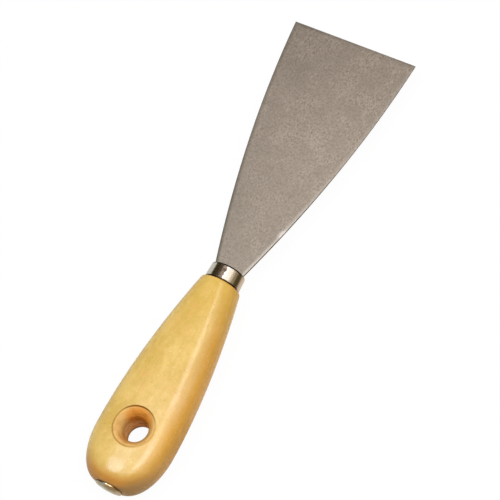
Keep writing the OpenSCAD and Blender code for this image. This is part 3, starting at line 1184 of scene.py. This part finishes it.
@dataclass
class Handle:
    """Shaped hardwood grip with its tenon, tang slot, hang hole and drilled butt."""

    shoulder_y: float
    butt_y: float
    hole_y: float
    hole_radius: float
    hole_wall: float
    tang_y: float
    shoulder_radius: float = 7.6 * MM
    seat_radius: float = 4.9 * MM
    widest_from_butt: float = 18.7 * MM
    thickest_from_butt: float = 9.2 * MM
    side_flare: float = 11.7
    face_flare: float = 1.0
    butt_fullness: float = 2.02
    butt_side_fullness: float = 2.15
    grip_squareness: float = 2.75
    shoulder_round: float = 0.4 * MM
    tenon_mouth_radius: float = 5.8 * MM
    tenon_foot_radius: float = 6.0 * MM
    full_tenon: float = 6.2 * MM
    slot_half: Span = (4.6 * MM, 0.65 * MM)
    slot_end_half: Span = (2.6 * MM, 0.65 * MM)
    slot_gap: float = 0.1 * MM
    rim_radius: float = 7.5 * MM
    shank_hole: Span = (1.7 * MM, 10.1 * MM)
    around: int = 192
    shoulder_rows: int = 6
    grip_rows: int = 120
    butt_rows: int = 49
    block_columns: int = 21
    block_reach: float = 10.6 * MM
    patch_rings: int = 10
    flare_rings: int = 13
    wall_rings: int = 16
    rim_search: float = 1.1
    halvings: int = 40

    def __post_init__(self) -> None:
        """Takes over the solid's width, thickness and tenon."""
        low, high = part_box(Part.HANDLE.solid)
        self.half_w, self.half_t = high.x, (high.z - low.z) / 2
        self.mid_z, self.tenon_y = (high.z + low.z) / 2, high.y
        self.length = self.shoulder_y - self.butt_y
        self.turn = full_turn(self.around)

    def build(self) -> bpy.types.Object:
        """Builds and dresses the handle.

        Returns:
            The finished piece.
        """
        shell = Shell()
        rings = self._grip()
        grip = shell.add(rings)
        rows, columns = self._block(rings[:, 0, 1])
        self._hang_hole(shell, grip, rows, columns)
        # The grip's skin leaves out the block above and below, where that band lies.
        keep = np.ones((len(grip) - 1, self.around), bool)
        keep[rows[0]:rows[1], columns[0]:columns[1]] = False
        keep[rows[0]:rows[1], self.around - columns[1]:self.around - columns[0]] = False
        shell.skin(grip, keep)
        self._tenon(shell, grip[0])
        self._butt(shell, grip[-1])
        finish = LacqueredWood(hole_y=self.hole_y / MM, rim_radius=self.rim_radius / MM,
                               bore_end_z=(self.mid_z - self.hole_wall / 2) / MM,
                               centre_z=self.mid_z / MM, butt_y=self.butt_y / MM,
                               seat_radius=self.seat_radius / MM)
        return Part.HANDLE.dress(shell.build(Part.HANDLE.piece), finish.material())

    def _swell(self, greatest: float, from_butt: float, flare: float, fullness: float,
               d: Array) -> Array:
        """Gives half the width or thickness at distances from the shoulder.

        Formula: a cubic from the shoulder to the greatest size, then a superellipse that
        closes on the button's seat.

        Args:
            greatest: The greatest half size.
            from_butt: Distance of that place from the butt.
            flare: Angle at which the outline leaves the shoulder.
            fullness: Power of the superellipse.
            d: Distances from the shoulder.

        Returns:
            The half size at each distance.
        """
        run = self.length - from_butt
        grow = cubic(self.shoulder_radius, greatest, math.tan(math.radians(flare)), 0, run,
                     np.minimum(d / run, 1))
        u = np.clip((d - run) / from_butt, 0, 1)
        close = (self.seat_radius
                 + (greatest - self.seat_radius) * (1 - u**fullness)**(1 / fullness))
        return np.where(d <= run, grow, close)

    def _section(self, y: Array) -> tuple[Array, Array, Array]:
        """Gives the section at each y.

        The power goes from that of an ellipse at the ends to its greatest in the middle,
        as the square root of a half wave.

        Args:
            y: Places along the knife.

        Returns:
            The half width, the half thickness and the power at each place.
        """
        d = np.clip(self.shoulder_y - y, 0, self.length)
        half_w = self._swell(self.half_w, self.widest_from_butt, self.side_flare,
                             self.butt_fullness, d)
        half_t = self._swell(self.half_t, self.thickest_from_butt, self.face_flare,
                             self.butt_side_fullness, d)
        wave = np.sqrt(np.clip(np.sin(np.pi * d / self.length), 0, 1))
        return half_w, half_t, ELLIPSE_POWER + (self.grip_squareness - ELLIPSE_POWER) * wave

    def _grip(self) -> Array:
        """Lays out the rings of the grip.

        The shoulder is rounded along a quarter circle, and towards the butt the rows come
        closer as the sine of an even turn.

        Returns:
            The rings, from the shoulder to the butt's seat.
        """
        bend = quarter_turn(self.shoulder_rows)
        round_d = self.shoulder_round * (1 - np.cos(bend))
        inset = self.shoulder_round * (1 - np.sin(bend))
        widest = self.length - self.widest_from_butt
        straight = np.linspace(self.shoulder_round, widest, self.grip_rows)[1:]
        butt = widest + self.widest_from_butt * np.sin(quarter_turn(self.butt_rows)[1:])
        d = np.concatenate([round_d, straight, butt])
        inset = np.concatenate([inset, np.zeros(len(d) - len(inset))])[:, None]
        y = self.shoulder_y - d
        half_w, half_t, power = (a[:, None] for a in self._section(y))
        x, z = superellipse_ring(half_w - inset, half_t - inset, power, self.turn)
        return ring_points(x, y[:, None], self.mid_z + z)

    def _block(self, y: Array) -> tuple[tuple[int, int], tuple[int, int]]:
        """Finds the block of the grip that makes way for the hang hole.

        Args:
            y: Place of each ring of the grip.

        Returns:
            The block's first and last row, and its first and last column.
        """
        near = np.flatnonzero(np.abs(y - self.hole_y) < self.block_reach)
        top = self.around // 4
        return ((int(near[0]), int(near[-1])),
                (top - self.block_columns, top + self.block_columns))

    def _face_z(self, x: Array, y: Array) -> Array:
        """Gives the height of the face over the middle, t (1 - |x/w|^p)^(1/p)."""
        half_w, half_t, power = self._section(y)
        return half_t * np.clip(1 - np.abs(x / half_w)**power, 0, 1)**(1 / power)

    def _flare(self, turn: Array) -> tuple[Array, Array]:
        """Gives the arc of the hang hole's flare, which meets the crowned face at its rim.

        Formula: the radius is the wall's plus r (1 - cos a), and the height is half the
        wall's plus r sin a, where r brings the arc to the rim at the face's height.

        Args:
            turn: Angles of the arc from the wall, as shares of its whole angle.

        Returns:
            The radius and the height over the middle at each angle.
        """
        width, wall_z = self.rim_radius - self.hole_radius, self.hole_wall / 2
        depth = float(self._face_z(np.zeros(1), np.array([self.hole_y]))[0]) - wall_z
        arc_radius = (width**2 + depth**2) / (2 * width)
        angle = turn * math.asin(depth / arc_radius)
        return (self.hole_radius + arc_radius * (1 - np.cos(angle)),
                wall_z + arc_radius * np.sin(angle))

    def _hang_hole(self, shell: Shell, grip: Array, rows: tuple[int, int],
                   columns: tuple[int, int]) -> None:
        """Adds the faces round the hang hole, its flares and its wall as one band of rings.

        Seen from above, each ring of the face lies on straight lines from the edge of the
        block to the rim, and the rim is where the flare meets the face, found by halving.

        Args:
            shell: The surface that the rings are added to.
            grip: Point numbers of the grip.
            rows: First and last row of the block.
            columns: First and last column of the block.
        """
        (r0, r1), (c0, c1) = rows, columns
        loop_r = np.concatenate([np.full(c1 - c0, r0), np.arange(r0, r1),
                                 np.full(c1 - c0, r1), np.arange(r1, r0, -1)])
        loop_c = np.concatenate([np.arange(c0, c1), np.full(r1 - r0, c1),
                                 np.arange(c1, c0, -1), np.full(r1 - r0, c0)])
        top, bottom = grip[loop_r, loop_c], grip[loop_r, (self.around - loop_c) % self.around]
        edge = shell.points[0][top]
        angle = np.arctan2(edge[:, 1] - self.hole_y, edge[:, 0])

        low, high = np.zeros(len(angle)), np.full(len(angle), self.rim_search)
        for _ in range(self.halvings):
            middle = (low + high) / 2
            radius, z = self._flare(middle)
            below = z < self._face_z(radius * np.cos(angle),
                                     self.hole_y + radius * np.sin(angle))
            low, high = np.where(below, middle, low), np.where(below, high, middle)
        radius, _ = self._flare(low)
        rim = np.stack([radius * np.cos(angle), self.hole_y + radius * np.sin(angle)],
                       axis=-1)
        share = (np.arange(1, self.patch_rings + 1) / self.patch_rings)[:, None, None]
        plan = edge[:, :2] + (rim - edge[:, :2]) * share
        face_z = self._face_z(plan[..., 0], plan[..., 1])
        flare_r, flare_z = self._flare(low * np.linspace(1, 0, self.flare_rings)[1:, None])
        wall_r = np.full((self.wall_rings - 2, len(angle)), self.hole_radius)
        wall_z = np.linspace(self.hole_wall / 2, -self.hole_wall / 2, self.wall_rings)[1:-1]
        bore_r = np.concatenate([flare_r, wall_r, flare_r[::-1]])
        bore_z = np.concatenate([flare_z, wall_z[:, None] + 0 * angle, -flare_z[::-1]])
        bands = ((plan[..., 0], plan[..., 1], face_z),
                 (bore_r * np.cos(angle), self.hole_y + bore_r * np.sin(angle), bore_z),
                 (plan[::-1, :, 0], plan[::-1, :, 1], -face_z[::-1]))
        rings = [shell.add(ring_points(x, y, self.mid_z + z)) for x, y, z in bands]
        shell.skin(np.concatenate([top[None], *rings, bottom[None]]))

    def _tenon(self, shell: Shell, shoulder: Array) -> None:
        """Adds the tenon, its end and the slot for the tang.

        Args:
            shell: The surface.
            shoulder: Point numbers of the shoulder's inner edge.
        """
        share = (self.tenon_y - self.shoulder_y) / self.full_tenon
        end_radius = (self.tenon_foot_radius
                      + (self.tenon_mouth_radius - self.tenon_foot_radius) * share)
        circle = np.array([np.cos(self.turn), np.sin(self.turn)])
        slot_end = self.tang_y - self.slot_gap
        rings = [(self.tenon_foot_radius * circle, self.shoulder_y),
                 (end_radius * circle, self.tenon_y),
                 (rectangle_ring(*self.slot_half, self.turn), self.tenon_y),
                 (rectangle_ring(*self.slot_end_half, self.turn), slot_end)]
        rows = [shell.add(ring_points(x, y, self.mid_z + z)) for (x, z), y in rings]
        shell.skin(np.stack([shoulder, *rows]))
        shell.fan(rows[-1], (0, slot_end, self.mid_z))

    def _butt(self, shell: Shell, seat: Array) -> None:
        """Adds the drilled hole for the button's shank.

        Args:
            shell: The surface.
            seat: Point numbers of the seat's outer edge.
        """
        radius, depth = self.shank_hole
        profile = np.array([(radius, self.butt_y), (radius, self.butt_y + depth)])
        rows = shell.add(turned(profile, self.mid_z, self.around))
        shell.skin(np.concatenate([seat[None], rows]))
        shell.fan(rows[-1], (0, self.butt_y + depth, self.mid_z))


@dataclass
class Button:
    """Domed steel head with a softened edge, on a ringed shank."""

    butt_y: float
    edge: float = 0.6 * MM
    corner: float = 0.15 * MM
    shank_radius: float = 1.6 * MM
    ring_depth: float = 0.25 * MM
    ring_pitch: float = 1.4 * MM
    ring_step: float = 0.01 * MM
    point: float = 2.0 * MM
    point_radius: float = 0.1 * MM
    around: int = 128
    dome_steps: int = 25
    corner_steps: int = 6

    def __post_init__(self) -> None:
        """Takes over the solid's length, width and place."""
        low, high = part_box(Part.BUTTON.solid)
        self.top_y, self.tip_y, self.radius = low.y, high.y, high.x
        self.mid_z = (low.z + high.z) / 2

    def build(self) -> bpy.types.Object:
        """Builds and dresses the button.

        Returns:
            The finished piece.
        """
        shell = Shell()
        rows = shell.add(turned(self._profile(), self.mid_z, self.around))
        shell.skin(rows)
        shell.fan(rows[0], (0, self.top_y, self.mid_z))
        shell.fan(rows[-1], (0, self.tip_y, self.mid_z))
        finish = DulledSteel(seat_y=self.butt_y / MM, centre_z=self.mid_z / MM)
        return Part.BUTTON.dress(shell.build(Part.BUTTON.piece), finish.material())

    def _profile(self) -> Array:
        """Draws half the button's section.

        The dome is a circle's arc, its edge turns down and under along quarter circles,
        and the rings are saw teeth, the first half a pitch from the seat.

        Returns:
            Points (radius, y) from the crown to the shank's point.
        """
        rise = self.butt_y - self.edge - self.top_y
        dome_r = (self.radius**2 + rise**2) / (2 * rise)
        bend = math.asin((self.radius - self.corner) / dome_r) * steps(self.dome_steps)
        dome = np.stack([dome_r * np.sin(bend),
                         self.top_y + dome_r * (1 - np.cos(bend))], axis=1)
        quarter = quarter_turn(self.corner_steps)[1:]
        out, back = (self.corner * (1 - wave(quarter)) for wave in (np.sin, np.cos))
        turn_down = np.stack([self.radius - out, dome[-1, 1] + back], axis=1)
        turn_under = np.stack([self.radius - back, self.butt_y - out], axis=1)
        core = self.shank_radius - self.ring_depth
        count = int((self.tip_y - self.butt_y - self.point) / self.ring_pitch)
        tooth = self.butt_y + self.ring_pitch * (np.arange(count) + 0.5)
        corners = ((core, -self.ring_depth), (self.shank_radius, 0), (core, self.ring_step))
        teeth = np.stack([np.stack([0 * tooth + radius, tooth + ahead], axis=1)
                          for radius, ahead in corners], axis=1)
        return np.concatenate([dome, turn_down, [(self.radius, self.butt_y - self.corner)],
                               turn_under, [(core, self.butt_y)], teeth.reshape(-1, 2),
                               [(core, self.tip_y - self.point),
                                (self.point_radius, self.tip_y)]])


# ---------------------------------------------------------------------------
# The set
# ---------------------------------------------------------------------------

class LampShape(Enum):
    """The outline of a soft box: its name, and the share of its rectangle that it fills."""

    RECTANGLE = ("RECTANGLE", 1.0)
    ELLIPSE = ("ELLIPSE", math.pi / 4)


@dataclass(frozen=True)
class SoftBox:
    """An evenly bright sheet of light that hangs over the knife, mirrored in gloss or not.

    It hangs "across" degrees from overhead to the right and "along" degrees towards the
    working edge, looks "spread" degrees wide and long from the knife, and is turned in its
    own plane. Its distance is in metres.
    """

    name: str
    across: float
    along: float
    spread: Span
    level: float
    turn: float = 0.0
    distance: float = 0.9
    shape: LampShape = LampShape.RECTANGLE
    mirrored: bool = True
    tint: Colour = (1.0, 1.0, 1.0)

    def build(self) -> bpy.types.Object:
        """Hangs the box.

        The power of a lamp of area A that looks as bright as "level" is level times pi
        times A.

        Returns:
            The lamp.
        """
        width, length = (2 * self.distance * math.tan(math.radians(a) / 2)
                         for a in self.spread)
        lamp = bpy.data.lights.new(self.name, "AREA")
        lamp.shape, fill = self.shape.value
        lamp.size, lamp.size_y = width, length
        lamp.color = self.tint
        lamp.energy = self.level * math.pi * width * length * fill
        holder = bpy.data.objects.new(self.name, lamp)
        bpy.context.scene.collection.objects.link(holder)
        holder.visible_glossy = self.mirrored
        holder.matrix_world = (Matrix.Rotation(math.radians(self.across), 4, "Y")
                               @ Matrix.Rotation(math.radians(-self.along), 4, "X")
                               @ Matrix.Translation((0, 0, self.distance))
                               @ Matrix.Rotation(math.radians(self.turn), 4, "Z"))
        return holder


@dataclass
class Studio:
    """White sheet, soft boxes, dim room and the camera.

    Metal sees the sheet in the three sheet colours, laid out by places in millimetres: pale,
    with painted shade to the right and a painted shadow off the right side of the grip.
    """

    sheet_half: float = 3.0
    sweep: float = 0.5
    sweep_rings: int = 13
    around: int = 96
    paper: Colour = (0.85, 0.85, 0.85)
    white: Colour = (1.0, 1.0, 1.0)
    sheet_glow: float = 0.96
    sheet_left: Colour = (0.75, 0.77, 0.72)
    # Seen only by metal: sheet_right_shade is painted shade and sheet_painted_shadow a
    # painted shadow.
    sheet_right_shade: Colour = (0.85, 0.71, 0.57)
    sheet_painted_shadow: Colour = (0.09, 0.068, 0.025)
    right_x: Ramp = (-10.0, 10.0)
    far_x: Ramp = (12.0, 32.0)
    far_y: Ramp = (-45.0, -15.0)
    room: Colour = (0.045, 0.028, 0.006)
    boxes: tuple[SoftBox, ...] = (
        SoftBox("overhead_box", 1, -6, (50, 36), 3.1),
        SoftBox("front_box", 29, 14.5, (34, 18), 1.1),
        SoftBox("flank_box", 31, -1, (24, 30), 1.4),
        SoftBox("left_box", -33, 7, (14, 10), 1.0),
        SoftBox("shade_box", -8, 22, (30, 20), 0.24, tint=(1.0, 0.66, 0.5)),
        SoftBox("side_box", 37, 0, (48, 46), 0.68, tint=(1.0, 0.88, 0.70)),
        SoftBox("edge_box", 65, 3, (32, 54), 0.32, tint=(1.0, 0.84, 0.55)),
        SoftBox("strip_box", 13, 7.5, (10, 31), 5.4, turn=33),
        SoftBox("butt_box", -14, -9, (21, 29), 5.2, tint=(0.78, 0.9, 1.05),
                shape=LampShape.ELLIPSE),
        SoftBox("right_fill", 40, 3, (38, 54), 0.5, mirrored=False),
        SoftBox("left_fill", -50, 10, (50, 70), 0.3, mirrored=False))
    aim: Point = (3.08 * MM, 4.64 * MM, 8.55 * MM)
    azimuth: float = 44.737
    elevation: float = 63.716
    roll: float = -18.893
    distance: float = 716.35 * MM
    lens: float = 144.0
    sensor: float = 36.0

    def build(self) -> None:
        """Builds the sheet, the room, the lamps and the camera."""
        self._sheet()
        self._room()
        for box in self.boxes:
            box.build()
        self._camera()
        log.info("studio: sheet, room, %d soft boxes and camera", len(self.boxes))

    def _sheet(self) -> None:
        """Lays the sheet, flat under the knife and swept up all round.

        The bend is a quarter circle turned about the knife.
        """
        bend = quarter_turn(self.sweep_rings)[:, None]
        turn = full_turn(self.around)
        radius = self.sheet_half + self.sweep * np.sin(bend)
        shell = Shell()
        rows = shell.add(ring_points(radius * np.cos(turn), radius * np.sin(turn),
                                     self.sweep * (1 - np.cos(bend))))
        shell.skin(rows)
        shell.fan(rows[0], (0, 0, 0))
        sheet = shell.build("white_sheet")
        sheet.data.materials.append(self._paper())

    def _paper(self) -> bpy.types.Material:
        """Makes the sheet's material.

        Returns:
            Paper that takes the knife's shadow and looks white to the camera. Metal sees
            it pale, with warmer painted shade to the right and a dark painted shadow off the
            right side of the grip.
        """
        graph = Graph("white_sheet")
        camera, glossy, glass = (graph.node("ShaderNodeLightPath", output=f"Is {ray} Ray")
                                 for ray in ("Camera", "Glossy", "Transmission"))
        x, y, _ = graph.axes(graph.place())
        # Painted shade to the right and a painted shadow off the right side of the grip, seen
        # only by metal.
        seen = graph.mix(x.ramp(*self.right_x), self.sheet_left, self.sheet_right_shade)
        seen = graph.mix(x.ramp(*self.far_x) * y.ramp(*self.far_y), seen, self.sheet_painted_shadow)
        paper = graph.node("ShaderNodeBsdfDiffuse", None, {"Color": (*self.paper, 1)})
        glow = graph.node("ShaderNodeEmission", None,
                          {"Color": graph.mix(glossy, self.white, seen), "Strength": 1.0})
        share = (camera + glass) * self.sheet_glow + glossy
        graph.node_output(graph.node("ShaderNodeMixShader", None,
                                     {0: share, 1: paper, 2: glow}))
        return graph.material

    def _room(self) -> None:
        """Makes the room, dim all round."""
        world = bpy.data.worlds.new("room")
        world.use_nodes = True
        world.node_tree.nodes["Background"].inputs["Color"].default_value = (*self.room, 1)
        bpy.context.scene.world = world

    def _camera(self) -> None:
        """Sets the camera at its distance from the aim, turned by its roll."""
        azimuth, elevation = math.radians(self.azimuth), math.radians(self.elevation)
        back = Vector((math.sin(azimuth) * math.cos(elevation),
                       -math.cos(azimuth) * math.cos(elevation), math.sin(elevation)))
        lens = bpy.data.cameras.new("camera")
        lens.lens, lens.sensor_width = self.lens, self.sensor
        camera = bpy.data.objects.new("camera", lens)
        bpy.context.scene.collection.objects.link(camera)
        level = Vector((0, 0, 1)).cross(back).normalized()
        turn = Matrix((level, back.cross(level), back)).transposed()
        camera.matrix_world = (Matrix.Translation(Vector(self.aim) + back * self.distance)
                               @ turn.to_4x4()
                               @ Matrix.Rotation(math.radians(self.roll), 4, "Z"))
        bpy.context.scene.camera = camera


def main() -> None:
    """Builds the knife from the working edge to the butt, then the set."""
    logging.basicConfig(level=logging.INFO, format="%(message)s")
    bpy.context.scene.view_settings.view_transform = "Standard"
    hole = next(m for m in frame["record"]["mounts"] if m["name"] == "hang_hole")
    shoulder_y, mouth_y = (corner.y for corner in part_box(Part.FERRULE.solid))
    butt_y, tenon_y = (corner.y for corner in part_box(Part.HANDLE.solid))
    Blade(mouth_y=mouth_y, tenon_y=tenon_y).build()
    Ferrule().build()
    Handle(shoulder_y=shoulder_y, butt_y=butt_y, hole_y=hole["pos_m"][1],
           hole_radius=hole["dims"]["r_mm"] * MM, hole_wall=hole["dims"]["length_mm"] * MM,
           tang_y=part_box(Part.BLADE.solid)[0].y).build()
    Button(butt_y=butt_y).build()
    Studio().build()


if __name__ == "__main__":
    main()
